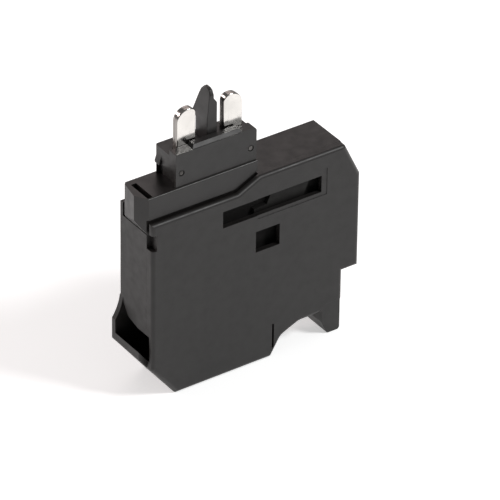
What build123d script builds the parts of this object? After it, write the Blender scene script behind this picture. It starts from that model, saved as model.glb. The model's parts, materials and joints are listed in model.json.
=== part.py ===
from build123d import *
import os
from math import atan2, cos, degrees, hypot, radians, sin

# Plug-in thermal circuit breaker, press to reset. Millimetres.
# Drawn in casing axes: X along the body, Y from the front cover to the rear wall, Z up through
# the blades, with zero at the front lower left corner of the casing. place() moves every piece
# to the part's own origin, the middle of the base.

# ---- Casing outline ----
thickness = 12.9          # module width, front face to rear face
length = 55.4
top_z = 49.2              # raised right-hand top
deck_drop = 2.8           # low top beside the plug base, below the raised one
rise_dx = 5.8             # length of the slope between them
top_slope_dx = 4.2        # steep slope at the top right corner
top_slope_dz = 8.7
step_z = 16.0             # right side steps in below this height
step_in = 4.3
corner_dx = 6.3           # bottom left corner is cut off
corner_dz = 8.2
lip_out = 2.1             # pull lip stands out past the left end
lip_top_z = 16.3
lip_ramp_z = 21.8
arch_width = 14.2         # finger arch in the underside, left of the foot
arch_knee_dx = 2.7
arch_knee_z = 4.6
arch_roof_z = 6.7
arch_roof_dx = 7.5
foot_width = 4.9          # foot right of the arch
foot_toe = 1.5

# ---- Walls and joints between the shells ----
plate = 1.3               # front and rear plates
wall = 1.2                # walls round the edge
parting_y = 2.3           # front cover ends and rear case starts
bottom_round = 1.1        # rounding of the front cover along base, arch and right side
top_round = 0.9           # rounding along the top and left side
rear_round = 0.4          # rounding of the rear plate
slip = 0.1                # gap between pieces that only have to go together
touch = 0.05              # gap round a located piece

# ---- Windows, slots and recesses ----
window_left_x = 18.45
window_right_in = 10.65   # right end of the long window, from the right side
window_drop = 5.7         # its top edge, below the raised top
window_height = 4.25
flag_window_width = 6.35
flag_window_height = 5.4
label_left, label_right = 17.15, 1.45    # shallow label field past both ends of the long window
label_low, label_high = 0.95, 1.7        # and below and above it
label_depth = 0.12
baffle_gap, baffle_thick = 0.4, 1.1      # baffle behind the long window
sheet_thick = 0.3         # dark insulating sheet on the rear of the baffle
sheet_left, sheet_right = 0.45, 1.05     # past both ends of the long window
sheet_low, sheet_high = 2.05, -0.4       # past its lower and upper edge
sheet_flag_left, sheet_flag_right, sheet_flag_low = 1.45, 2.4, 1.8    # past the square window
latch_slot_drop = 2.8     # opening for the rail latch in the left end, below the deck
latch_slot_height = 4.0
slit_z = (2.4, 8.8)
slit_width = 0.5
slit_depth = 1.0
pocket_depth_x = 6.8      # pull recess, measured from the left end
pocket_top_z = 16.7
pocket_rear_top_z = 20.4
foot_recess_depth = 0.9
foot_recess_top = 8.9

# ---- Plug base and contact carrier ----
base_rise = 6.25          # top of the plug base above the deck
base_front_y = 1.4
base_back_in = 2.85       # its rear face, in from the rear of the casing
base_skirt = 2.1          # how far it reaches below the deck
ledge_drop = 0.3          # ledge at its rear closes the casing, this far below the deck
base_relief = 0.5         # its front is set back along the deck, by this depth
relief_height = 0.75      # and this far above the deck
nose_skirt = 3.25         # the nose reaches lower than the rest
nose_foot = 0.1           # and starts to slope in this far above the deck
base_shell = 1.45         # thickness of its top
base_end = 0.9            # thickness of its right end
nose_out = 1.9
nose_tip_dy = 3.0         # the nose's edge, back from the front of the plug base
nose_back_out = 0.9
groove_x, groove_depth = (0.0, 1.3), 2.0
groove_front, groove_back = 0.4, 1.6     # its ends, in from the front and rear of the plug base
carrier_front_in = 0.5    # carrier face, back from the front of the plug base
carrier_back_in = 0.05
carrier_left = 2.05       # carrier past the outer edges of the blades
carrier_right = 2.0
carrier_height = 8.35
carrier_rear_drop = 1.2   # top of the rear shell, below the front one
crest_left, crest_right = 4.3, 3.6       # raised crest, in from the ends of the carrier
crest_rise = 0.75
crest_slope = 1.0         # its front and ends slope over this width
crest_back_in = 0.3       # its rear face, ahead of the split
end_recess = 0.9          # recess low in both ends of the carrier
end_recess_front, end_recess_back = 3.9, 2.4    # its height at the split and at the rear
barb = 0.5

# ---- Blades and locating pin ----
blade_width = 4.9
blade_thickness = 1.8     # strip folded on itself
blade_gap = 7.25          # between the two blades
blade_first_x = 9.35
blade_forward = 1.85      # front of the blades, ahead of the middle plane
blade_out = 8.7           # stands above the carrier
blade_outer_corner = 2.9
blade_inner_corner = 1.7
blade_rim = 0.3           # rounding of the blade's rim
blade_tail = 3.2          # reaches below the deck
tail_rivet_r = 0.9
tail_rivet_rise = 2.7     # above the end of the tail
tail_rivet_flange = 0.5   # its heads are wider than its shank by this
tail_rivet_head = 0.4
shoulder_side = 0.7
shoulder_rise, shoulder_height = 0.75, 1.4
pin_from_blade = 2.75
pin_width = 2.6
pin_front, pin_back = 2.15, 2.4          # before and behind the middle plane
pin_out = 11.6            # stands above the carrier
pin_barb = 1.2            # barb behind the stem
pin_barb_drop = 7.3       # below the tip
pin_head_back = 1.0       # the head ends this far ahead of the back of the stem
pin_shoulder_drop = 2.3   # the right side of the head is cut back above this
pin_shoulder = 0.85
pin_foot = 1.4            # snap foot below the top of the plug base
pin_snap = 0.4            # it hooks this far under the edge of the slot
rivet_r, rivet_head_r, rivet_head = 0.4, 0.5, 0.2
rivet_sink_r, rivet_sink = 0.75, 0.3     # the heads lie in these counterbores
rivet_rise = 3.35
rivet_inset = 1.5

# ---- Mechanism ----
travel = 3.0              # reset button springs out by this much when tripped
button_in = 9.9           # right side of the button, from the right side of the casing
button_width = 5.4
button_side = 3.4         # button face, in from the front and the rear of the casing
button_sink = 0.5         # face sits this far above the arch roof
well_gap = 0.2
slide_side = 0.4          # slide is this much wider than the button on each side
slide_above_arm = 7.0
guide_below_arm = 4.0     # guide ribs beside the slide end here
snap_width, snap_depth, snap_height = 2.8, 2.4, 3.0    # snap peg of the button, in the slide
button_spring_r, button_spring_wire = 1.6, 0.4
button_spring_seat = 1.1  # bottom of its well, above the flag's drive pin
rib_above_slide = 3.0
rib_height = 1.0
arm_pivot_x = 15.5
arm_below_latch = 9.5     # arm pivot, below the latch pivot
arm_pin_r = 1.0
arm_width = 3.0
arm_thick = 1.2
arm_hub_r = 2.2
arm_in_slide = 2.6        # tip of the arm past the left side of the slide
arm_slot_gap = 0.15
arm_slot_low = 0.6
run_gap = 0.04            # radial running clearance on pins
contact_from_tip = 8.9
contact_r = 1.5
contact_thick = 0.9
contact_spring_dx = 8.5   # from the arm's pivot
contact_spring_length = 7.6
contact_spring_r, contact_spring_wire = 1.4, 0.35
contact_seat = 1.3
strip = 0.8               # thickness of busbars and bimetal
bimetal_drop = 5.4        # underside of the bimetal, below the deck
bimetal_left_x = 17.5
bimetal_right_in = 9.0
bimetal_slot = 0.75
bimetal_hold = 3.5        # length of its held legs
screw_in = 10.5
screw_r, screw_head_r, screw_head = 1.0, 1.6, 1.0
screw_out = 1.1           # tip below the bimetal
latch_pivot_in = 5.5
latch_drop = 7.1          # latch pivot, below the bimetal
latch_pin_r = 0.8
latch_hub_r = 1.9
latch_arm = 1.5
latch_turn = 17.2         # degrees it swings clear over the travel
nose_r = 0.5
nose_from_slide = 0.6
nose_drop = 9.8           # nose, below the latch pivot
heel_back = 1.2           # lower arm meets the nose this far to its right
feeler_r = 0.6
tooth_out = 1.0
latch_spring_drop = 6.5   # below the latch pivot
latch_spring_r, latch_spring_wire = 1.1, 0.3
spring_turns = 6
flag_pivot_in = 17.0
flag_above_arm = 1.0
flag_reach_x, flag_reach_z = 4.8, 4.3    # near corner of the square window, from the flag's pivot
flag_turn = 50.0          # degrees from hidden to behind the square window
flag_gap, flag_thick = 0.3, 1.0
flag_pin_r = 0.6
flag_margin = 0.6
drive_pin_r = 0.5
drive_slot_gap = 0.08
post_r, peg_r, peg_gap = 1.6, 0.8, 0.03
post_lap = 1.0            # cover posts end this far behind the parting line
peg_long = 2.9            # and their pegs this much further back

# ---- Values that follow from those above ----
deck_z = top_z - deck_drop
mid_y = thickness / 2                      # middle plane of the mechanism
rear_inner_y = thickness - plate
blade_xs = [blade_first_x, blade_first_x + blade_width + blade_gap]
blade_y = mid_y - blade_forward
carrier_x = (blade_xs[0] - carrier_left, blade_xs[1] + blade_width + carrier_right)
rise_end_x = carrier_x[1]
deck_end_x = rise_end_x - rise_dx
base_top_z = deck_z + base_rise
base_back_y = thickness - base_back_in
carrier_y = (base_front_y + carrier_front_in, base_back_y - carrier_back_in)
carrier_split_y = blade_y - slip
carrier_top_z = base_top_z + carrier_height
crest_x = (carrier_x[0] + crest_left, carrier_x[1] - crest_right)
carrier_rear_z = carrier_top_z - carrier_rear_drop
recess_front_z = base_top_z + end_recess_front
recess_back_z = base_top_z + end_recess_back
blade_tip_z = carrier_top_z + blade_out
blade_tail_z = deck_z - blade_tail
tail_rivet_z = blade_tail_z + tail_rivet_rise
tail_top_z = blade_tail_z + 4.0
nose_low_z = deck_z - nose_skirt
shoulder_z = (base_top_z + shoulder_rise, base_top_z + shoulder_rise + shoulder_height)
pin_x = (blade_xs[0] + blade_width + pin_from_blade, blade_xs[0] + blade_width + pin_from_blade + pin_width)
pin_y = (mid_y - pin_front, mid_y + pin_back)
pin_tip_z = carrier_top_z + pin_out
pin_barb_z = pin_tip_z - pin_barb_drop
rivet_z = base_top_z + rivet_rise
bar_y = blade_y + blade_thickness          # busbars lie on the rear of the blade tails
bracket_y = rear_inner_y - 1.9
fixed_y = rear_inner_y - 1.7

foot_x = length - step_in - foot_width
arch_start_x = foot_x - arch_width
lip_z = corner_dz * (1 + lip_out / corner_dx)
floor_z = arch_roof_z + wall
window_x = (window_left_x, length - window_right_in)
window_z = (top_z - window_drop - window_height, top_z - window_drop)
baffle_y = (plate + baffle_gap, plate + baffle_gap + baffle_thick)
label_x = (window_x[1] - label_left, window_x[1] + label_right)
label_z = (window_z[0] - label_low, window_z[1] + label_high)
latch_slot_z = (deck_z - latch_slot_drop - latch_slot_height, deck_z - latch_slot_drop)

button_x = (length - button_in - button_width, length - button_in)
button_y = (button_side, thickness - button_side)
button_face_z = arch_roof_z + button_sink
slide_bottom_z = floor_z + travel + slip
slide_x = (button_x[0] - slide_side, button_x[1] + slide_side)
slide_y = (button_y[0] - slide_side - slip, button_y[1] + slide_side + slip)
slide_mid_x = (slide_x[0] + slide_x[1]) / 2
bimetal_z = deck_z - bimetal_drop
bimetal_x = (bimetal_left_x, length - bimetal_right_in)
bimetal_bend_x = bimetal_x[0] + bimetal_hold    # the strip is held to the left of this line
screw_x = length - screw_in
screw_tip_z = bimetal_z - screw_out
latch_pivot = (length - latch_pivot_in, bimetal_z - latch_drop)
arm_pivot = (arm_pivot_x, latch_pivot[1] - arm_below_latch)
arm_tip_x = slide_x[0] + arm_in_slide
arm_top_z = arm_pivot[1] + arm_thick / 2
arm_under_z = arm_pivot[1] - arm_thick / 2
arm_y = (mid_y - arm_width / 2, mid_y + arm_width / 2)
nose_at = (slide_x[1] + nose_from_slide, latch_pivot[1] - nose_drop)
contact_x = arm_tip_x - contact_from_tip
contact_face_z = arm_top_z + contact_thick
load_bar_z = contact_face_z + contact_thick
contact_spring_x = arm_pivot[0] + contact_spring_dx
contact_seat_z = (arm_under_z - contact_spring_length - contact_seat, arm_under_z - contact_spring_length)
guide_top_z = arm_pivot[1] - guide_below_arm
slide_top_z = arm_pivot[1] + slide_above_arm
spring_rib_z = (slide_top_z + rib_above_slide, slide_top_z + rib_above_slide + rib_height)
latch_spring_z = latch_pivot[1] - latch_spring_drop
flag_pivot = (length - flag_pivot_in, arm_pivot[1] + flag_above_arm)
flag_window_x = (flag_pivot[0] - flag_reach_x - flag_window_width, flag_pivot[0] - flag_reach_x)
flag_window_z = (flag_pivot[1] + flag_reach_z, flag_pivot[1] + flag_reach_z + flag_window_height)
flag_y = (plate + flag_gap, plate + flag_gap + flag_thick)
drive_arm = travel / (2 * sin(radians(flag_turn / 2)))
drive_z = flag_pivot[1] + travel / 2
drive_x = flag_pivot[0] + drive_arm * cos(radians(flag_turn / 2))
button_spring_z = drive_z + button_spring_seat
post_front_y = parting_y + post_lap
peg_end_y = post_front_y + peg_long
post_at = [
    (5.0, deck_z - 13.0),
    (13.0, 6.0),
    (length - 20.0, floor_z + post_r + 1.5),
    (length - 7.4, top_z - wall - post_r - 0.8),
]


def place(piece):
    """From casing axes to the part's own frame, whose origin is the middle of the base."""
    return Pos(-(length - lip_out) / 2, -thickness / 2, 0) * piece


def block(x, y, z):
    """Box between two X, two Y and two Z values."""
    size = (x[1] - x[0], y[1] - y[0], z[1] - z[0])
    return Pos(sum(x) / 2, sum(y) / 2, sum(z) / 2) * Box(*size)


def slab(sketch, y):
    """Solid with an X-Z outline, from y[0] to y[1]."""
    return extrude(Plane.XZ.offset(-y[1]) * sketch, y[1] - y[0])


def area(*points):
    """Closed straight-sided outline, with its points as given."""
    return make_face(Polyline(*points, close=True))


def rod_y(x, z, r, y):
    """Round bar along Y."""
    return Pos(x, sum(y) / 2, z) * Rot(90, 0, 0) * Cylinder(r, y[1] - y[0])


def rod_z(x, y, r, z):
    """Round bar along Z."""
    return Pos(x, y, sum(z) / 2) * Cylinder(r, z[1] - z[0])


def coil(radius, wire, height, turns):
    """Compression spring standing on the X-Y plane."""
    rise = height - wire
    path = Helix(pitch=rise / turns, height=rise, radius=radius)
    section = Plane(origin=path @ 0, z_dir=path % 0) * Circle(wire / 2)
    return Pos(0, 0, wire / 2) * sweep(section, path=path, is_frenet=True)


def corners_near(sketch, *points):
    """Corners of an outline that lie at the given points."""
    return [v for v in sketch.vertices() for p in points if hypot(v.X - p[0], v.Y - p[1]) < 0.01]


# ---- Casing ----
def casing_outline():
    """Outline of the body without the pull lip."""
    knee = (arch_start_x + arch_knee_dx, arch_knee_z)
    roof = (arch_start_x + arch_roof_dx, arch_roof_z)
    heel = (foot_x, arch_roof_z)
    shin = (foot_x, arch_roof_z / 2)
    toe = (foot_x + foot_toe, 0)
    face = area(
        (corner_dx, 0), (0, corner_dz), (0, deck_z), (deck_end_x, deck_z), (rise_end_x, top_z),
        (length - top_slope_dx, top_z), (length, top_z - top_slope_dz), (length, step_z),
        (length - step_in, step_z), (length - step_in, 0), toe, shin, heel, roof, knee,
        (arch_start_x, 0))
    face = fillet(corners_near(face, knee), 2.5)
    face = fillet(corners_near(face, roof), 3.0)
    face = fillet(corners_near(face, shin), 1.5)
    return fillet(corners_near(face, toe, (length - step_in, 0)), 0.7)


def cavity_outline():
    """Space inside the walls: the body outline drawn in, less the pull pocket and the foot."""
    inside = offset(casing_outline(), -wall, kind=Kind.INTERSECTION)
    pocket = area((-1, -1), (pocket_depth_x + wall, -1), (pocket_depth_x + wall, pocket_rear_top_z + wall),
                  (-1, pocket_rear_top_z + wall))
    foot = area((foot_x, -1), (length, -1), (length, floor_z), (foot_x, floor_z))
    mouth = area((wall, deck_z - 2 * wall), (rise_end_x + slip, deck_z - 2 * wall),
                 (rise_end_x + slip, top_z + 1), (wall, top_z + 1))
    return inside - pocket - foot + mouth


def pull_pocket():
    """Open recess behind the pull lip, from the front plate to the rear plate."""
    slope = corner_dz / corner_dx
    inner_floor_z = corner_dz + wall * hypot(1, slope)
    low_x = (inner_floor_z - 2 * wall) / slope
    face = area(
        (-lip_out - 1, inner_floor_z + slope * (lip_out + 1)), (low_x, 2 * wall), (pocket_depth_x, 2 * wall),
        (pocket_depth_x, pocket_top_z), (-lip_out - 1, pocket_top_z))
    scoop = Plane.YZ.offset(-lip_out - 1) * area(
        (mid_y - 1, pocket_top_z - slip), (rear_inner_y - 2, pocket_top_z + 1),
        (rear_inner_y, pocket_rear_top_z), (rear_inner_y, pocket_top_z - slip))
    return slab(face, (plate, rear_inner_y)) + extrude(scoop, lip_out + 1 + wall)


def pull_lip():
    """Flare of the rear plate and of the sloping floor, past the left end."""
    bulge = (-lip_out * 0.32, (lip_top_z + lip_ramp_z) / 2)
    edges = Polyline((0, lip_ramp_z), (0.5, lip_ramp_z), (0.5, corner_dz), (0, corner_dz), (-lip_out, lip_z),
                     (-lip_out, lip_top_z))
    flare = make_face([*edges.edges(), ThreePointArc((-lip_out, lip_top_z), bulge, (0, lip_ramp_z))])
    floor_rise = wall * hypot(1, corner_dz / corner_dx)
    floor = area((0.5, corner_dz - 0.65), (-lip_out, lip_z), (-lip_out, lip_z + floor_rise),
                 (0.5, corner_dz - 0.65 + floor_rise))
    return slab(flare, (rear_inner_y, thickness)) + slab(floor, (parting_y, thickness))


def nose_gap():
    """Room over the left wall for the nose of the plug base."""
    return block((-1, wall + slip), (plate, rear_inner_y), (nose_low_z - slip, deck_z + 1))


def main_case():
    body = slab(casing_outline(), (parting_y, thickness))
    body = fillet(body.edges().filter_by(Plane.XZ).group_by(Axis.Y)[-1], rear_round)
    body -= slab(cavity_outline(), (parting_y, rear_inner_y))
    body += pull_lip()
    body -= pull_pocket()
    body -= nose_gap()
    body += fittings()
    well_x = (button_x[0] - well_gap, button_x[1] + well_gap)
    well_y = (button_y[0] - well_gap, button_y[1] + well_gap)
    body -= block(well_x, well_y, (0, floor_z))
    for x, z in post_at:
        body -= rod_y(x, z, peg_r, (post_front_y, peg_end_y + slip))
    body -= rod_y(*latch_pivot, latch_pin_r, (arm_y[1], rear_inner_y))
    return body


def fittings():
    """Posts, seats and guides that stand on the rear plate."""
    deep = (parting_y + 1, rear_inner_y)
    posts = [rod_y(x, z, post_r, (post_front_y, rear_inner_y)) for x, z in post_at]
    rib_x = (slide_mid_x - 2, slide_mid_x + 1.6)
    seats = [
        block((contact_spring_x - 2, contact_spring_x + 2), (mid_y - 2, rear_inner_y), contact_seat_z),
        block(rib_x, (mid_y - 2.2, rear_inner_y), spring_rib_z),
        rod_y(*latch_pivot, latch_hub_r, (arm_y[1] + slip, rear_inner_y)),
        block((slide_x[0] - slip - wall, slide_x[0] - slip), deep, (floor_z, guide_top_z)),
        block((slide_x[1] + slip, slide_x[1] + slip + wall), deep, (floor_z, guide_top_z)),
        block((arm_pivot[0] - 3.3, arm_pivot[0] + 4.3), (bracket_y + strip, rear_inner_y),
              (arm_pivot[1] + 3, bimetal_z - 2)),
        block((blade_xs[1] + 2, contact_x - 2.5), (fixed_y + strip, rear_inner_y),
              (arm_pivot[1] + 6, bimetal_z)),
        block((wall, 2.2), (parting_y, mid_y), (latch_slot_z[0] - 0.6, nose_low_z - slip)),
        block((wall + slip, 2.2), (plate + slip, mid_y), (latch_slot_z[0] - 0.6, nose_low_z - slip)),
    ]
    return Part() + posts + seats


def foot_recess():
    """Set-back of the cover's face over the foot."""
    right_x = length - step_in + 1
    left_x = foot_x - 2.6
    brow = [(foot_x - 0.2, foot_recess_top - 0.4), (foot_x + 1.6, foot_recess_top)]
    face = area((left_x, -1), (left_x, arch_roof_z), *brow, (right_x, foot_recess_top - 0.2), (right_x, -1))
    face = fillet(corners_near(face, *brow), 1.2)
    return slab(face, (-1, foot_recess_depth))


def front_cover():
    body = slab(casing_outline(), (0, parting_y))
    front = body.edges().filter_by(Plane.XZ).group_by(Axis.Y)[0]
    upper = [e for e in front if e.center().Z > deck_z - 1 or e.center().X < 1]
    low = [e for e in front if e not in upper]
    body = fillet(low, bottom_round)
    front = body.edges().filter_by(Plane.XZ).group_by(Axis.Y)[0]
    upper = [e for e in front if e.center().Z > deck_z - 1 or e.center().X < 1]
    body = fillet(upper, top_round)
    body -= slab(cavity_outline(), (plate, parting_y))
    body -= pull_pocket()
    body -= nose_gap()
    body -= block(window_x, (-1, plate), window_z)
    body -= block(flag_window_x, (-1, plate), flag_window_z)
    body -= block(label_x, (-1, label_depth), label_z)
    body -= block((-1, wall), (-1, parting_y), latch_slot_z)
    body -= block((arch_start_x, arch_start_x + slit_width), (-1, slit_depth), slit_z)
    body -= foot_recess()
    for x, z in post_at:
        body += rod_y(x, z, post_r, (plate, post_front_y))
        body += rod_y(x, z, peg_r - peg_gap, (plate, peg_end_y))
    for at, r, pin_r in [(arm_pivot, arm_hub_r, arm_pin_r), (latch_pivot, latch_hub_r, latch_pin_r)]:
        body += rod_y(*at, r, (plate, arm_y[0] - 0.5))
        body -= rod_y(*at, pin_r, (plate + 0.7, arm_y[0]))
    body -= rod_y(*flag_pivot, flag_pin_r, (plate - 0.8, plate))
    return body


# ---- Plug base and contact carrier ----
def plug_base():
    """Cap over the low part of the casing, with a nose that hangs over its left end."""
    low_z = deck_z - base_skirt
    box_x = (wall + 2 * slip, rise_end_x)
    body = block(box_x, (base_front_y, base_back_y), (low_z + slip, base_top_z)) + plug_nose()
    relief = offset(casing_outline(), relief_height, kind=Kind.INTERSECTION)
    body -= slab(relief, (base_front_y - 1, base_front_y + base_relief))
    front_top = body.edges().filter_by(Axis.X).group_by(Axis.Z)[-1].sort_by(Axis.Y)[0]
    body = fillet(front_top, 0.35)
    body += block(box_x, (base_back_y - wall, rear_inner_y - slip), (low_z + slip, deck_z - ledge_drop))
    inner_x = (wall + 1, box_x[1] - base_end)
    inner_y = (base_front_y + base_relief + wall, base_back_y - wall)
    body -= block(inner_x, inner_y, (low_z - 1, base_top_z - base_shell))
    groove_y = (base_front_y + groove_front, base_back_y - groove_back)
    body -= block(groove_x, groove_y, (base_top_z - groove_depth, base_top_z + 1))
    cut_z = (base_top_z - base_shell - 1, base_top_z + 1)
    for x in blade_xs:
        body -= block((x - touch, x + blade_width + touch), (blade_y - touch, bar_y + touch), cut_z)
    return body - block((pin_x[0] - touch, pin_x[1] + touch), (pin_y[0] - touch, pin_y[1] + touch), cut_z)


def plug_nose():
    """Pointed left end of the plug base, cut away underneath."""
    back = base_back_y
    plan = area((wall + 2 * slip, base_front_y), (0, base_front_y), (-nose_out, base_front_y + nose_tip_dy),
                (-nose_back_out, back - 0.5), (-nose_back_out + 0.5, back), (wall + 2 * slip, back))
    nose = extrude(Plane.XY.offset(nose_low_z) * plan, base_top_z - nose_low_z)
    under = area((slip, nose_low_z - 1), (slip, nose_low_z), (-nose_out - slip, deck_z + nose_foot),
                 (-nose_out - 1, deck_z + nose_foot), (-nose_out - 1, nose_low_z - 1))
    return nose - slab(under, (0, thickness))


def blade_rooms():
    """Space in the carrier for both blades, their shoulders and the locating pin."""
    room = Part()
    for x in blade_xs:
        room += block((x - touch, x + blade_width + touch), (carrier_split_y, bar_y + touch),
                      (base_top_z, carrier_top_z + 1))
        room += block((x - shoulder_side - touch, x + blade_width + shoulder_side + touch),
                      (carrier_split_y, bar_y + touch), (shoulder_z[0] - touch, shoulder_z[1] + touch))
    room += block((pin_x[0] - touch, pin_x[1] + touch), (pin_y[0] - touch, pin_y[1] + touch),
                  (base_top_z, carrier_top_z + 2))
    return room


def carrier_ends():
    """Recesses low in both ends of the carrier, with a sloping upper edge."""
    front_y, back_y = carrier_y[0] + 0.6, carrier_y[1] - 0.6
    rise = (recess_front_z - recess_back_z) / (carrier_y[1] - carrier_split_y)
    profile = area((front_y, base_top_z - 1), (front_y, recess_front_z), (carrier_split_y, recess_front_z),
                   (back_y, recess_front_z - rise * (back_y - carrier_split_y)), (back_y, base_top_z - 1))
    left, right = carrier_x
    return (extrude(Plane.YZ.offset(left - 1) * profile, 1 + end_recess)
            + extrude(Plane.YZ.offset(right - end_recess) * profile, 1 + end_recess))


def rivet_xs():
    return [carrier_x[0] + rivet_inset, carrier_x[1] - rivet_inset]


def rivet_holes():
    back = carrier_y[1] - wall
    holes = [rod_y(x, rivet_z, rivet_r, (carrier_y[0], back)) for x in rivet_xs()]
    sinks = [rod_y(x, rivet_z, rivet_sink_r, (carrier_y[0], carrier_y[0] + rivet_sink)) for x in rivet_xs()]
    return Part() + holes + sinks


def carrier_front():
    """Front shell, with a crest that slopes up from its face and its ends."""
    front, back = carrier_y[0], carrier_split_y
    body = block(carrier_x, (front, back), (base_top_z, carrier_top_z))
    corner = body.edges().filter_by(Axis.Y).group_by(Axis.Z)[-1].sort_by(Axis.X)[-1]
    body = fillet(corner, 0.9)
    crest = block(crest_x, (front, back - crest_back_in), (carrier_top_z - 0.5, carrier_top_z + crest_rise))
    rim = crest.edges().group_by(Axis.Z)[-1]
    slopes = [rim.filter_by(Axis.X).sort_by(Axis.Y)[0], *rim.filter_by(Axis.Y)]
    body += chamfer(slopes, crest_rise, crest_slope, reference=crest.faces().sort_by(Axis.Z)[-1])
    body -= carrier_ends()
    body -= blade_rooms()
    return body - rivet_holes()


def carrier_rear():
    left, right = carrier_x
    back = carrier_y[1]
    body = block(carrier_x, (carrier_split_y, back), (base_top_z, carrier_rear_z))
    body = fillet(body.edges().filter_by(Axis.Z).group_by(Axis.Y)[-1], 0.6)
    barb_z = recess_back_z
    barb_face = area((left + 1, barb_z), (left, barb_z), (left - barb, barb_z + 0.7),
                     (left - barb, barb_z + 1.2), (left, barb_z + 2.8), (left + 1, barb_z + 2.8))
    body += slab(barb_face, (back - 2.4, back - 0.6))
    body -= carrier_ends()
    body -= blade_rooms()
    return body - rivet_holes()


def carrier_rivets():
    rivets = []
    seat_y = carrier_y[0] + rivet_sink
    for x in rivet_xs():
        shank = rod_y(x, rivet_z, rivet_r, (seat_y, carrier_y[1] - wall))
        head = rod_y(x, rivet_z, rivet_head_r, (seat_y - rivet_head, seat_y))
        rivets.append(shank + head)
    return rivets


def locating_pin():
    """Flat pin with an arrow head above the blades and a snap foot under the plug base."""
    low_z = base_top_z - base_shell - pin_foot
    front, back = pin_y
    head_back = back - pin_head_back
    side = Plane.YZ.offset(pin_x[0]) * area(
        (front, low_z), (front - pin_snap, base_top_z - base_shell), (front, base_top_z - base_shell),
        (front, pin_tip_z - 1.4), (front + 0.6, pin_tip_z - 0.3), (front + 1.4, pin_tip_z),
        (head_back - 0.9, pin_tip_z), (head_back, pin_tip_z - 1.0), (back + pin_barb, pin_barb_z + 0.3),
        (back + pin_barb, pin_barb_z - 0.2), (back, pin_barb_z - 1.1), (back, low_z))
    body = extrude(side, pin_x[1] - pin_x[0])
    shoulder_top_z = pin_tip_z - pin_shoulder_drop
    left, right = pin_x
    cut_right = area((right - pin_shoulder, pin_tip_z + 1), (right - pin_shoulder, shoulder_top_z),
                     (right, shoulder_top_z - 1.2), (right + 1, shoulder_top_z - 1.2),
                     (right + 1, pin_tip_z + 1))
    cut_left = area((left - 1, pin_barb_z), (left, pin_barb_z), (left + 0.45, shoulder_top_z),
                    (left + 0.9, pin_tip_z + 0.1), (left - 1, pin_tip_z + 0.1))
    body -= slab(cut_right, (front - 1, back + 2))
    return body - slab(cut_left, (front - 1, back + 2))


def blade(x, outer_left):
    """Flat contact blade of folded strip, with a shoulder on each side that the carrier holds."""
    right = x + blade_width
    out_left, out_right = x - shoulder_side, right + shoulder_side
    low, high = shoulder_z
    corners = [(x, blade_tip_z), (right, blade_tip_z)]
    outer, inner = corners if outer_left else reversed(corners)
    face = area((x, blade_tail_z), (x, low), (out_left, low), (out_left, high), (x, high), *corners,
                (right, high), (out_right, high), (out_right, low), (right, low), (right, blade_tail_z))
    face = fillet(corners_near(face, outer), blade_outer_corner)
    face = fillet(corners_near(face, inner), blade_inner_corner)
    body = slab(face, (blade_y, bar_y))
    rim = body.edges().filter_by(Axis.Y, reverse=True)
    body = fillet(rim.filter_by_position(Axis.Z, shoulder_z[1] + 1, blade_tip_z), blade_rim)
    for rivet_x in rivet_xs():
        body -= rod_y(rivet_x, rivet_z, rivet_r + touch, (blade_y, bar_y))
    return body - rod_y(x + blade_width / 2, tail_rivet_z, tail_rivet_r, (blade_y, bar_y))


def tail_rivets():
    """Tubular rivets that join each blade to its busbar."""
    rivets = []
    for x in blade_xs:
        at = (x + blade_width / 2, tail_rivet_z)
        head_r = tail_rivet_r + tail_rivet_flange
        body = rod_y(*at, tail_rivet_r, (blade_y, bar_y + strip))
        body += rod_y(*at, head_r, (blade_y - tail_rivet_head, blade_y))
        body += rod_y(*at, head_r, (bar_y + strip, bar_y + strip + tail_rivet_head))
        rivets.append(body)
    return rivets


# ---- Current path ----
def line_busbar():
    """Angle from the left blade to the front leg of the bimetal."""
    x = blade_xs[0]
    low_z = bimetal_z - strip
    leg_y = (button_y[0], mid_y - bimetal_slot / 2)
    body = block((x, bimetal_x[0] - 0.7), (bar_y, bar_y + strip), (low_z, tail_top_z))
    body += block((x + 2, bimetal_x[0] - 0.7), (leg_y[0], bar_y + 0.4), (low_z, bimetal_z))
    body += block((x + 2, bimetal_bend_x), leg_y, (low_z, bimetal_z))
    return body - rod_y(x + blade_width / 2, tail_rivet_z, tail_rivet_r, (bar_y, bar_y + strip))


def arm_bracket():
    """Angle from the rear leg of the bimetal down to the contact arm's pivot."""
    flange_y = (mid_y + bimetal_slot / 2, bracket_y + strip)
    body = block((bimetal_x[0], bimetal_bend_x), flange_y, (bimetal_z - strip, bimetal_z))
    x, z = arm_pivot
    plate_face = area((x - 3, bimetal_z), (bimetal_bend_x, bimetal_z), (bimetal_bend_x, z + 10),
                      (x + 3.5, z + 6), (x + 3.5, z - 3.2), (x - 3, z - 3.2))
    body += slab(plate_face, (bracket_y, bracket_y + strip))
    return body - rod_y(*arm_pivot, arm_pin_r, (bracket_y, bracket_y + strip))


def load_busbar():
    """Strip from the right blade, behind the bimetal, down to the fixed contact."""
    x = blade_xs[1]
    shelf_z = blade_tail_z + 0.2
    end_x = (contact_x - 2.4, contact_x + 2.4)
    body = block((x, x + blade_width), (bar_y, bar_y + strip), (shelf_z, tail_top_z))
    body += block((x, x + blade_width), (bar_y, fixed_y + strip), (shelf_z, shelf_z + strip))
    right = x + blade_width
    drop = area((x, shelf_z + strip), (right, shelf_z + strip), (right, load_bar_z + 11.6),
                (end_x[1], load_bar_z + 6.6), (end_x[1], load_bar_z), (end_x[0], load_bar_z),
                (end_x[0], load_bar_z + 4.6), (x, load_bar_z + 9.6))
    body += slab(drop, (fixed_y, fixed_y + strip))
    body += block(end_x, (arm_y[0] - 0.2, fixed_y + strip), (load_bar_z, load_bar_z + strip))
    return body - rod_y(x + blade_width / 2, tail_rivet_z, tail_rivet_r, (bar_y, bar_y + strip))


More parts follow.
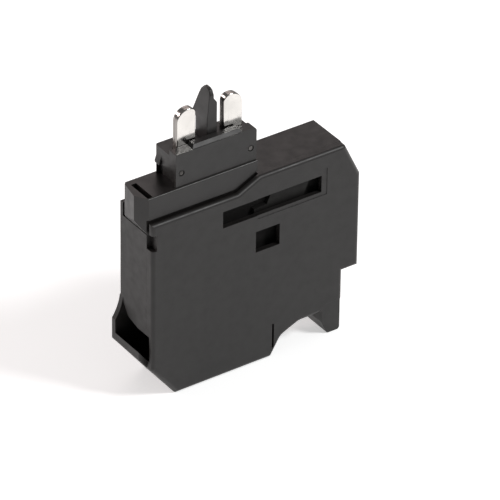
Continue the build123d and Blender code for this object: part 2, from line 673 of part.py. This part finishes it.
def bimetal_strip():
    """U-shaped strip: two held legs, joined at the free end that carries the screw."""
    body = block(bimetal_x, button_y, (bimetal_z, bimetal_z + strip))
    half = bimetal_slot / 2
    body -= block((bimetal_x[0] - 1, bimetal_x[1] - 5), (mid_y - half, mid_y + half),
                  (bimetal_z - 1, bimetal_z + 2))
    return body - rod_z(screw_x, mid_y, screw_r, (bimetal_z, bimetal_z + strip))


def calibration_screw():
    head_z = bimetal_z + strip
    body = rod_z(screw_x, mid_y, screw_r, (screw_tip_z, head_z))
    body = chamfer(body.edges().group_by(Axis.Z)[0], 0.4)
    body += rod_z(screw_x, mid_y, screw_head_r, (head_z, head_z + screw_head))
    driver_slot = block((screw_x - 2, screw_x + 2), (mid_y - 0.25, mid_y + 0.25),
                        (head_z + screw_head / 2, head_z + 2 * screw_head))
    return body - driver_slot


def contact_arm():
    body = block((arm_pivot[0], arm_tip_x), arm_y, (arm_under_z, arm_top_z))
    body += rod_y(*arm_pivot, arm_hub_r, (arm_y[0] - 0.4, arm_y[1] + 0.4))
    return body - rod_y(*arm_pivot, arm_pin_r + run_gap, (0, thickness))


def braid():
    """Flexible copper lead from the bracket to the arm, soldered at both ends."""
    x = arm_pivot[0] + 2.5
    z = arm_pivot[1]
    path = FilletPolyline((x, bracket_y, z + 9), (x, mid_y, z + 9), (x, mid_y, z + 4),
                          (x + 3, mid_y, z + 2.5), (x + 3, mid_y, arm_top_z), radius=[1.6, 1.6, 1.0])
    return sweep(Plane(origin=path @ 0, z_dir=path % 0) * Circle(0.5), path=path)


# ---- Trip and reset ----
def reset_button():
    body = block(button_x, button_y, (button_face_z, slide_bottom_z))
    body = fillet(body.edges().group_by(Axis.Z)[0], 0.5)
    return body + snap_peg(touch, snap_height)


def snap_peg(gap, height):
    """Peg that joins button and slide, with a gap all round for its pocket."""
    half_x, half_y = snap_width / 2 - gap, snap_depth / 2 - gap
    return block((slide_mid_x - half_x, slide_mid_x + half_x), (mid_y - half_y, mid_y + half_y),
                 (slide_bottom_z, slide_bottom_z + height))


def trip_slide():
    """Insulating slide over the button: carries its spring, drives the arm and the flag."""
    body = block(slide_x, slide_y, (slide_bottom_z, slide_top_z))
    body -= snap_peg(0, snap_height + slip)
    body -= block((slide_x[0], arm_tip_x + 0.7), (arm_y[0] - 0.4, arm_y[1] + 0.4),
                  (arm_under_z - arm_slot_low, arm_top_z + arm_slot_gap))
    slot = drive_pin_r + drive_slot_gap
    body -= block((flag_pivot[0] + 2.2, flag_pivot[0] + drive_arm + 0.9), (slide_y[0], slide_y[0] + 1.2),
                  (drive_z - slot, drive_z + slot))
    body -= rod_z(slide_mid_x, mid_y, button_spring_r + 0.6, (button_spring_z, slide_top_z))
    return body + latch_tooth()


def latch_tooth():
    """Bevelled tooth that rests on the latch nose. The bevel follows the nose as it swings away."""
    swing = radians(latch_turn) / travel
    rel_x, rel_z = nose_at[0] - latch_pivot[0], nose_at[1] - latch_pivot[1]
    bevel = (1 + swing * rel_x) / (-swing * rel_z) + 0.05
    root_x = slide_x[1]
    reach = hypot(1, bevel) * (nose_r + 0.08)
    root_z = nose_at[1] + reach - bevel * (nose_at[0] - root_x)
    face = area((root_x - 0.5, root_z - 0.5 * bevel), (root_x + tooth_out, root_z + bevel * tooth_out),
                (root_x + tooth_out, root_z + 2.0), (root_x - 0.5, root_z + 3.5))
    return slab(face, (arm_y[0], arm_y[1]))


def bar_between(a, b, width):
    """Outline of a straight bar with round ends."""
    mid = ((a[0] + b[0]) / 2, (a[1] + b[1]) / 2)
    turn = degrees(atan2(b[1] - a[1], b[0] - a[0]))
    return Pos(*mid) * Rot(0, 0, turn) * SlotCenterToCenter(hypot(b[0] - a[0], b[1] - a[1]), width)


def trip_latch():
    """Bell crank: nose under the slide's tooth, feeler under the bimetal's screw."""
    heel = (nose_at[0] + heel_back, nose_at[1])
    feeler = (screw_x - 0.2, screw_tip_z - slip - feeler_r)
    face = Pos(*latch_pivot) * Circle(latch_hub_r)
    face += bar_between(latch_pivot, heel, latch_arm)
    face += bar_between(heel, nose_at, 2 * nose_r)
    face += bar_between(latch_pivot, feeler, 2 * feeler_r)
    return slab(face, arm_y) - rod_y(*latch_pivot, latch_pin_r + run_gap, (0, thickness))


def latch_spring():
    """Spring between the right wall and the back of the latch's lower arm."""
    top_z = latch_spring_z + latch_spring_r + latch_spring_wire
    drop = (latch_pivot[1] - top_z) / (latch_pivot[1] - nose_at[1])
    heel_x = nose_at[0] + heel_back
    latch_back_x = latch_pivot[0] + drop * (heel_x - latch_pivot[0]) + latch_arm / 2 + slip
    spring = coil(latch_spring_r, latch_spring_wire, length - wall - latch_back_x, spring_turns)
    return Pos(length - wall, mid_y, latch_spring_z) * Rot(0, -90, 0) * spring


def trip_flag():
    """Lever with the vane that swings up behind the square window."""
    x = (flag_window_x[0] - flag_margin, flag_window_x[1] + flag_margin)
    z = (flag_window_z[0] - flag_margin, flag_window_z[1] + flag_margin)
    vane = area((x[0], z[0]), (x[1], z[0]), (x[1], z[1]), (x[0], z[1]))
    vane = fillet(vane.vertices(), 0.8)
    arm = bar_between(flag_pivot, (x[1] - 2, z[0] + 2), 1.8)
    shown = Pos(*flag_pivot) * Rot(0, 0, flag_turn) * Pos(-flag_pivot[0], -flag_pivot[1]) * (vane + arm)
    lever = bar_between(flag_pivot, (drive_x, drive_z), 1.6)
    face = shown + lever + Pos(*flag_pivot) * Circle(1.5)
    body = slab(face, flag_y) + rod_y(drive_x, drive_z, drive_pin_r, (flag_y[0], slide_y[0] + 1.0))
    return body - rod_y(*flag_pivot, flag_pin_r + run_gap, (0, thickness))


def window_baffle():
    """Insulating plate behind the long window, held to the cover along its top."""
    low, high = window_z[0] - 0.8, window_z[1] + 1.4
    left, right = window_x[1] - 16.95, window_x[1] - 3.95
    face = area((left, low), (left, low + 1.5), (left + 3.4, low + 1.7), (left + 5.6, high),
                (right + 2.8, high), (right, low))
    tab = block((left + 6, right + 2), (plate, baffle_y[0]), (window_z[1] + 0.3, high))
    return slab(face, baffle_y) + tab


def insulating_sheet():
    """Dark sheet on the rear of the baffle, which closes off the view through both windows."""
    sheet_y = (baffle_y[1], baffle_y[1] + sheet_thick)
    low = window_z[0] - sheet_low
    upper = block((window_x[0] - sheet_left, window_x[1] + sheet_right), sheet_y,
                  (low, window_z[1] + sheet_high))
    flag_x = (flag_window_x[0] - sheet_flag_left, flag_window_x[1] + sheet_flag_right)
    return upper + block(flag_x, sheet_y, (flag_window_z[0] - sheet_flag_low, low))


# ---- Assembly: name of each piece, and the shape or group of shapes it is made of ----
pieces = {
    "main_case": main_case(),
    "front_cover": front_cover(),
    "plug_base": plug_base(),
    "carrier_front_shell": carrier_front(),
    "carrier_rear_shell": carrier_rear(),
    "carrier_rivets": carrier_rivets(),
    "locating_pin": locating_pin(),
    "line_blade": blade(blade_xs[0], outer_left=True),
    "load_blade": blade(blade_xs[1], outer_left=False),
    "blade_rivets": tail_rivets(),
    "line_busbar": line_busbar(),
    "load_busbar": load_busbar(),
    "arm_bracket": arm_bracket(),
    "fixed_contact": rod_z(contact_x, mid_y, contact_r, (contact_face_z, load_bar_z)),
    "window_baffle": window_baffle(),
    "insulating_sheet": insulating_sheet(),
    "arm_pivot_pin": rod_y(*arm_pivot, arm_pin_r, (plate + 0.7, bracket_y + strip)),
    "latch_pivot_pin": rod_y(*latch_pivot, latch_pin_r, (plate + 0.7, rear_inner_y)),
    "flag_pivot_pin": rod_y(*flag_pivot, flag_pin_r, (plate - 0.8, flag_y[1] + 0.15))
    + rod_y(*flag_pivot, 1.0, (flag_y[1] + 0.15, flag_y[1] + 0.45)),
    "bimetal_strip": bimetal_strip(),
    "calibration_screw": calibration_screw(),
    "contact_arm": contact_arm(),
    "moving_contact": rod_z(contact_x, mid_y, contact_r, (arm_top_z, contact_face_z)),
    "braid": braid(),
    "reset_button": reset_button(),
    "trip_slide": trip_slide(),
    "trip_latch": trip_latch(),
    "trip_flag": trip_flag(),
    "button_spring": Pos(slide_mid_x, mid_y, button_spring_z)
    * coil(button_spring_r, button_spring_wire, spring_rib_z[0] - button_spring_z, spring_turns),
    "contact_spring": Pos(contact_spring_x, mid_y, contact_seat_z[1])
    * coil(contact_spring_r, contact_spring_wire, contact_spring_length, spring_turns),
    "latch_spring": latch_spring(),
}


def solids_of(shape):
    """Every solid of a piece, or of a group of pieces."""
    group = shape if isinstance(shape, list) else [shape]
    return [solid for one in group for solid in one.solids()]


os.makedirs("parts", exist_ok=True)
for name, shape in pieces.items():
    placed = [place(solid) for solid in solids_of(shape)]
    export_step(placed[0] if len(placed) == 1 else Compound(children=placed), f"parts/{name}.step")
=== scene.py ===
import json
import math

import bpy
from mathutils import Matrix, Vector


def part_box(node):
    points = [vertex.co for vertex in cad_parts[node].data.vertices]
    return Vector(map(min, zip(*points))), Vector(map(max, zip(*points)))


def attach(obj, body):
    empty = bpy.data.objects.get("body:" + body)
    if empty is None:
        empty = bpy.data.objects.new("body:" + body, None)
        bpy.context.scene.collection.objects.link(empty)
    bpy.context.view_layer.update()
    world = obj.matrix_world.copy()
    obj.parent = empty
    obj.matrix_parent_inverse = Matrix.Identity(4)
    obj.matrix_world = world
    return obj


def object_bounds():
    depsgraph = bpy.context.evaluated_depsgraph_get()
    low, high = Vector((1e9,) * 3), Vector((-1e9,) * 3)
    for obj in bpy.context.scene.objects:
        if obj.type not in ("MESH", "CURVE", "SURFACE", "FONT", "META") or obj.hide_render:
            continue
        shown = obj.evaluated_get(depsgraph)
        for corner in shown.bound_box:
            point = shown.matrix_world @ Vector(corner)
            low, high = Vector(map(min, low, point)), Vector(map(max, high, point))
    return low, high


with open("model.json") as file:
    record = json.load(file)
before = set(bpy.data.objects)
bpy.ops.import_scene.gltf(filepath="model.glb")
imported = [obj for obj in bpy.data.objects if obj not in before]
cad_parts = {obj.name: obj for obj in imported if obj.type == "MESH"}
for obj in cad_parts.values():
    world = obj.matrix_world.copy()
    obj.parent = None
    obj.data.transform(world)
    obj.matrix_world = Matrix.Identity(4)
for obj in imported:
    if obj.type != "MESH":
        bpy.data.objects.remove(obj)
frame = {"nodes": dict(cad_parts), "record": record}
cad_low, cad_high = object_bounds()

MM = 0.001
CENTRE = (cad_low + cad_high) / 2

# ---- Camera: the viewing angle, and a long lens from about 1.2 m ----
AZIMUTH = -34.97
ELEVATION = 33.64
ROLL = 0.78
DISTANCE = 1.1645
LENS_MM = 379.4
AIM = cad_low + Vector((32.066, 6.1, 26.04)) * MM

# ---- Light levels ----
WORLD_STRENGTH = 0.27
FLOOR_GLOW = 0.46


def camera():
    """Camera on a sphere round the aim point, turned slightly about its own axis."""
    a, e, roll = (math.radians(v) for v in (AZIMUTH, ELEVATION, ROLL))
    back = Vector((math.sin(a) * math.cos(e), -math.cos(a) * math.cos(e), math.sin(e)))
    right = Vector((math.cos(a), math.sin(a), 0.0))
    up = back.cross(right)
    turned = math.cos(roll) * right + math.sin(roll) * up
    top = back.cross(turned)
    axes = Matrix((turned, top, back)).transposed().to_4x4()
    data = bpy.data.cameras.new("camera")
    data.lens = LENS_MM
    data.sensor_width = 36.0
    data.clip_start = 0.05
    data.clip_end = 20.0
    cam = bpy.data.objects.new("camera", data)
    cam.matrix_world = Matrix.Translation(AIM + back * DISTANCE) @ axes
    bpy.context.scene.collection.objects.link(cam)
    bpy.context.scene.camera = cam


def area_light(name, position, size, power, colour=(1.0, 1.0, 1.0)):
    """Square soft box that faces the object."""
    data = bpy.data.lights.new(name, "AREA")
    data.shape = "SQUARE"
    data.size = size
    data.energy = power
    data.color = colour
    light = bpy.data.objects.new(name, data)
    light.location = position
    light.rotation_mode = "QUATERNION"
    light.rotation_quaternion = (Vector(position) - CENTRE).to_track_quat("Z", "Y")
    bpy.context.scene.collection.objects.link(light)


def studio():
    """White surround, soft boxes at the front right, back right and back left, and a pale floor."""
    scene = bpy.context.scene
    scene.view_settings.view_transform = "Standard"
    world = bpy.data.worlds.new("studio")
    scene.world = world
    world.use_nodes = True
    sky = world.node_tree.nodes["Background"]
    sky.inputs["Color"].default_value = (1.0, 1.0, 1.0, 1.0)
    sky.inputs["Strength"].default_value = WORLD_STRENGTH
    area_light("key", (0.45, -0.53, 0.68), 0.22, 5.5)
    area_light("back_right", (0.42, 0.6, 0.62), 0.55, 1.0, (1.0, 0.87, 0.85))
    area_light("back_left", (-0.6, 0.65, 0.5), 0.25, 3.2, (1.0, 0.86, 0.84))
    floor = bpy.data.objects.new("floor", grid_mesh("floor", 6.0, cad_low.z))
    bpy.context.scene.collection.objects.link(floor)
    floor.data.materials.append(floor_material())


def grid_mesh(name, size, z):
    """Flat square of the given size at height z."""
    half = size / 2
    mesh = bpy.data.meshes.new(name)
    corners = [(-half, -half, z), (half, -half, z), (half, half, z), (-half, half, z)]
    mesh.from_pydata(corners, [], [(0, 1, 2, 3)])
    return mesh


# ---- Materials ----
FLOW_UM = 14.0
GRAIN_UM = 2.5
BRUSH_UM = 1.2


class Surface:
    """A Principled material with short calls for the nodes that the finishes below share."""

    def __init__(self, name):
        self.material = bpy.data.materials.new(name)
        self.material.use_nodes = True
        self.tree = self.material.node_tree
        self.shader = self.tree.nodes["Principled BSDF"]
        self.place = self.node("ShaderNodeTexCoord").outputs["Object"]

    def node(self, kind, **settings):
        made = self.tree.nodes.new(kind)
        for key, value in settings.items():
            setattr(made, key, value)
        return made

    def link(self, source, target):
        self.tree.links.new(source, target)

    def set(self, **values):
        """Constant values on the shader's own sockets."""
        for key, value in values.items():
            self.shader.inputs[key.replace("_", " ")].default_value = value

    def noise(self, size_mm, detail=2.0, stretch=(1.0, 1.0, 1.0), roughness=0.5):
        """Noise whose features are about size_mm across, longer along a stretched axis."""
        mapping = self.node("ShaderNodeMapping")
        mapping.inputs["Scale"].default_value = [1.0 / s for s in stretch]
        self.link(self.place, mapping.inputs["Vector"])
        made = self.node("ShaderNodeTexNoise")
        made.inputs["Scale"].default_value = 1.0 / (size_mm * MM)
        made.inputs["Detail"].default_value = detail
        made.inputs["Roughness"].default_value = roughness
        self.link(mapping.outputs["Vector"], made.inputs["Vector"])
        return made.outputs["Fac"]

    def spread(self, source, low, high, start=0.3, end=0.7):
        """Noise value turned into the range low to high."""
        made = self.node("ShaderNodeMapRange")
        for key, value in (("From Min", start), ("From Max", end), ("To Min", low), ("To Max", high)):
            made.inputs[key].default_value = value
        self.link(source, made.inputs["Value"])
        return made.outputs["Result"]

    def two_tone(self, source, dark, light):
        """Base colour between two tones."""
        made = self.node("ShaderNodeMix", data_type="RGBA")
        made.inputs["A"].default_value = (*dark, 1.0)
        made.inputs["B"].default_value = (*light, 1.0)
        self.link(source, made.inputs["Factor"])
        self.link(made.outputs["Result"], self.shader.inputs["Base Color"])

    def edge_tone(self, tone):
        """Second tone on the faces that don't look along Y."""
        axes = self.node("ShaderNodeSeparateXYZ")
        self.link(self.node("ShaderNodeTexCoord").outputs["Normal"], axes.inputs["Vector"])
        facing = self.node("ShaderNodeMath", operation="ABSOLUTE")
        self.link(axes.outputs["Y"], facing.inputs[0])
        made = self.node("ShaderNodeMix", data_type="RGBA")
        made.inputs["A"].default_value = (*tone, 1.0)
        face = self.shader.inputs["Base Color"].links[0].from_socket
        self.link(face, made.inputs["B"])
        self.link(self.spread(facing.outputs["Value"], 0.0, 1.0, 0.55, 0.93), made.inputs["Factor"])
        self.link(made.outputs["Result"], self.shader.inputs["Base Color"])

    def relief(self, *layers):
        """Bump layers, each a value and its height in micrometres, one on top of the next."""
        below = None
        for value, height in layers:
            bump = self.node("ShaderNodeBump")
            bump.inputs["Strength"].default_value = 1.0
            bump.inputs["Distance"].default_value = height * 1e-6
            self.link(value, bump.inputs["Height"])
            if below:
                self.link(below, bump.inputs["Normal"])
            below = bump.outputs["Normal"]
        self.link(below, self.shader.inputs["Normal"])


def floor_material():
    s = Surface("floor_paper")
    s.two_tone(s.spread(s.noise(60.0), 0.0, 1.0), (0.9, 0.9, 0.9), (0.93, 0.93, 0.93))
    s.set(Roughness=0.9, Emission_Color=(1.0, 1.0, 1.0, 1.0), Emission_Strength=FLOOR_GLOW)
    return s.material


def moulded(name, dark, light, roughness, gloss):
    """Moulded plastic: fine eroded grain, faint flow marks and slow waviness from the tool."""
    s = Surface(name)
    flow = s.noise(9.0, detail=3.0, stretch=(1.0, 1.0, 2.5))
    grain = s.noise(0.16, detail=2.0)
    s.two_tone(s.spread(flow, 0.0, 1.0), dark, light)
    s.link(s.spread(s.noise(2.2, detail=4.0), roughness[0], roughness[1]), s.shader.inputs["Roughness"])
    s.relief((flow, FLOW_UM), (grain, GRAIN_UM))
    s.set(Specular_IOR_Level=gloss)
    return s.material


def metal(name, dark, light, roughness, brush, sheared=None):
    """Rolled or plated metal with fine lines along the stretched axis and faint handling marks.

    sheared is the duller tone of edges that don't face along Y, where the strip was cut and folded.
    """
    s = Surface(name)
    lines = s.noise(0.12, detail=3.0, stretch=brush)
    cloud = s.noise(3.0, detail=3.0)
    s.two_tone(s.spread(cloud, 0.0, 1.0), dark, light)
    if sheared:
        s.edge_tone(sheared)
    s.link(s.spread(lines, roughness[0], roughness[1]), s.shader.inputs["Roughness"])
    s.relief((lines, BRUSH_UM))
    s.set(Metallic=1.0)
    return s.material


# Dark and light tone of each moulded plastic, its range of roughness and its gloss.
GLOSS = 0.42
DULL = 0.15
DULL_SHEET = 0.12
PLASTICS = {
    "case_plastic": ((0.0075, 0.0067, 0.0063), (0.0105, 0.0095, 0.0089), (0.40, 0.52), GLOSS),
    "base_plastic": ((0.0075, 0.0068, 0.0065), (0.0105, 0.0095, 0.009), (0.34, 0.44), GLOSS),
    "carrier_plastic": ((0.0095, 0.009, 0.0085), (0.013, 0.0122, 0.0117), (0.38, 0.5), GLOSS),
    "pin_plastic": ((0.009, 0.0083, 0.008), (0.013, 0.012, 0.0115), (0.34, 0.46), GLOSS),
    "button_plastic": ((0.03, 0.03, 0.03), (0.04, 0.04, 0.04), (0.3, 0.4), GLOSS),
    "baffle_plastic": ((0.009, 0.0086, 0.0082), (0.013, 0.0124, 0.0118), (0.45, 0.6), DULL),
    "sheet_fibre": ((0.008, 0.0076, 0.0073), (0.011, 0.0104, 0.01), (0.6, 0.75), DULL_SHEET),
    "slide_plastic": ((0.42, 0.39, 0.33), (0.5, 0.47, 0.4), (0.35, 0.5), GLOSS),
    "flag_plastic": ((0.5, 0.02, 0.012), (0.6, 0.03, 0.02), (0.3, 0.42), GLOSS),
}

# Dark and light tone of each metal, its range of roughness and how far its lines stretch per axis.
UPRIGHT = (1.0, 1.0, 14.0)
EVEN = (1, 1, 1)
METALS = {
    "nickel_plate": ((0.66, 0.64, 0.61), (0.78, 0.76, 0.725), (0.12, 0.24), UPRIGHT),
    "rivet_steel": ((0.05, 0.048, 0.046), (0.13, 0.125, 0.12), (0.3, 0.45), EVEN),
    "pin_steel": ((0.5, 0.5, 0.5), (0.62, 0.62, 0.61), (0.2, 0.32), (1, 8, 1)),
    "latch_steel": ((0.45, 0.45, 0.44), (0.56, 0.56, 0.55), (0.25, 0.4), UPRIGHT),
    "spring_steel": ((0.36, 0.36, 0.37), (0.5, 0.5, 0.5), (0.2, 0.35), EVEN),
    "bimetal": ((0.42, 0.4, 0.36), (0.55, 0.53, 0.48), (0.3, 0.42), (14, 1, 1)),
    "copper": ((0.62, 0.30, 0.19), (0.76, 0.42, 0.29), (0.25, 0.4), UPRIGHT),
    "screw_brass": ((0.6, 0.44, 0.2), (0.75, 0.58, 0.28), (0.22, 0.35), (8, 8, 1)),
    "silver": ((0.7, 0.7, 0.69), (0.85, 0.85, 0.83), (0.3, 0.45), EVEN),
}
SHEARED = {"nickel_plate": (0.3, 0.285, 0.27)}


# ---- Softened edges ----
SOFT_EDGES = {
    "main_case": 0.18, "front_cover": 0.18, "plug_base": 0.2, "carrier_front_shell": 0.15,
    "carrier_rear_shell": 0.12, "locating_pin": 0.15, "line_blade": 0.08, "load_blade": 0.08,
    "reset_button": 0.12,
}


def soften(obj, width_mm):
    """Small moulding radius on every sharp edge, with smooth shading across it."""
    weld = obj.modifiers.new("weld", "WELD")
    weld.merge_threshold = 0.004 * MM
    flats = obj.modifiers.new("flats", "DECIMATE")
    flats.decimate_type = "DISSOLVE"
    flats.angle_limit = math.radians(0.5)
    bevel = obj.modifiers.new("edge_radius", "BEVEL")
    bevel.width = width_mm * MM
    bevel.segments = 2
    bevel.limit_method = "ANGLE"
    bevel.angle_limit = math.radians(28.0)
    bevel.harden_normals = False
    normals = obj.modifiers.new("normals", "WEIGHTED_NORMAL")
    normals.keep_sharp = False
    normals.weight = 90


def finish_cad_nodes():
    """Gives every CAD node the finish of its slot in the record."""
    made = {slot: moulded(slot, *values) for slot, values in PLASTICS.items()}
    for slot, values in METALS.items():
        made[slot] = metal(slot, *values, SHEARED.get(slot))
    slots = {part["node"]: part["material_slot"] for part in frame["record"]["subparts"]}
    for node, obj in frame["nodes"].items():
        obj.data.materials.clear()
        obj.data.materials.append(made[slots[node]])
        if node in SOFT_EDGES:
            soften(obj, SOFT_EDGES[node])


# ---- Fold seams: the closed edge of each blade, where the two leaves of the strip meet ----
SHOULDER = 0.7 * MM       # the blade's box is wider than the blade by this on each side
OUTER_RADIUS = 2.9 * MM
INNER_RADIUS = 1.7 * MM
SEAM_WIDTH = 0.14 * MM
SEAM_PROUD = 0.012 * MM
SEAM_DEEP = 0.12 * MM
ARC_STEPS = 14


def arc(centre_x, centre_z, radius, start, end):
    """Points on a quarter circle, each with its outward direction in X and Z."""
    points = []
    for i in range(ARC_STEPS + 1):
        angle = math.radians(start + (end - start) * i / ARC_STEPS)
        out = (math.cos(angle), math.sin(angle))
        points.append((centre_x + radius * out[0], centre_z + radius * out[1], *out))
    return points


def fold_seam(name, node, left_radius, right_radius):
    """Fine line that runs up one edge of a blade, over its rounded end and down the other edge."""
    low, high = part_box(node)
    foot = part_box("carrier_front_shell")[1].z - 1.0 * MM
    left, right, tip = low.x + SHOULDER, high.x - SHOULDER, high.z
    mid_y = (low.y + high.y) / 2
    path = [(left, foot, -1.0, 0.0)]
    path += arc(left + left_radius, tip - left_radius, left_radius, 180, 90)
    path += arc(right - right_radius, tip - right_radius, right_radius, 90, 0)
    path += [(right, foot, 1.0, 0.0)]
    section = [(-0.5, -SEAM_DEEP), (-0.5, 0.0), (0.0, SEAM_PROUD), (0.5, 0.0), (0.5, -SEAM_DEEP)]
    verts = []
    for x, z, out_x, out_z in path:
        for side, out in section:
            verts.append((x + out_x * out, mid_y + side * SEAM_WIDTH, z + out_z * out))
    count = len(section)
    faces = []
    for i in range(len(path) - 1):
        here, there = i * count, (i + 1) * count
        for j in range(count):
            after = (j + 1) % count
            faces.append((here + j, here + after, there + after, there + j))
    faces += [tuple(range(count)), tuple(reversed(range((len(path) - 1) * count, len(path) * count)))]
    mesh = bpy.data.meshes.new(name)
    mesh.from_pydata(verts, [], faces)
    mesh.update()
    mesh.materials.append(SEAM_METAL)
    seam = bpy.data.objects.new(name, mesh)
    bpy.context.scene.collection.objects.link(seam)
    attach(seam, "case")


camera()
studio()
finish_cad_nodes()
SEAM_METAL = metal("fold_seam", (0.10, 0.095, 0.09), (0.2, 0.19, 0.18), (0.3, 0.45), UPRIGHT)
fold_seam("line_blade_seam", "line_blade", OUTER_RADIUS, INNER_RADIUS)
fold_seam("load_blade_seam", "load_blade", INNER_RADIUS, OUTER_RADIUS)
